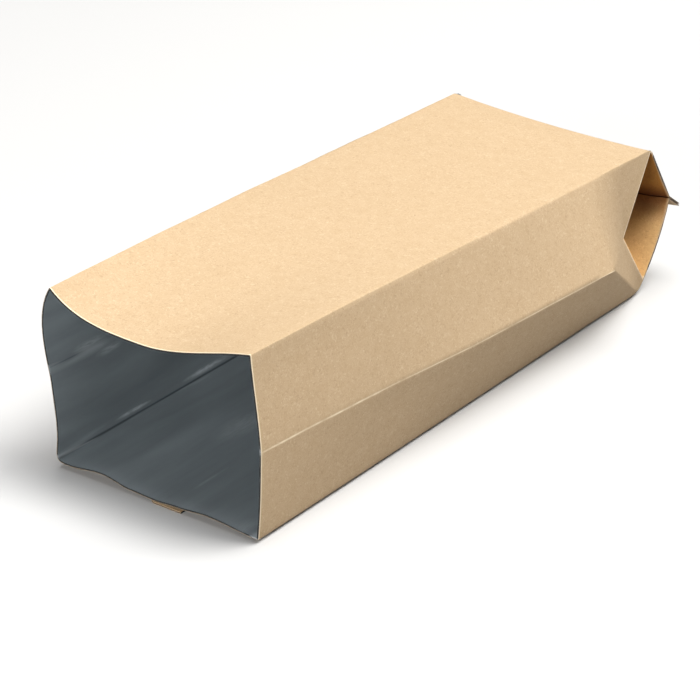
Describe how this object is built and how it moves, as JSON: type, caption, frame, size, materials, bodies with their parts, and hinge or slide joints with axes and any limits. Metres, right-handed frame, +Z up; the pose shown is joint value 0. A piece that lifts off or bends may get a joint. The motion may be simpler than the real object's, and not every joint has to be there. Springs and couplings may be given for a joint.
{
  "type": "side gusset paper bag",
  "caption": "Open side-gusset coffee bag of kraft paper with a grey film lining, lying on its back panel, bottom end cross-sealed and folded with a side pocket at each corner.",
  "frame": {"origin": "centre of the bounding box at the floor the bag lies on", "axes": "+X across the bag, +Y along it from the open mouth to the sealed bottom, +Z up from the back panel to the front panel"},
  "size_m": [0.1054, 0.2354, 0.0612],
  "materials": {
    "kraft_paper": "matte",
    "lining_film": "satin"
  },
  "bodies": {
    "root": {"kraft_shell": "kraft_paper", "lining": "lining_film"}
  },
  "joints": []
}
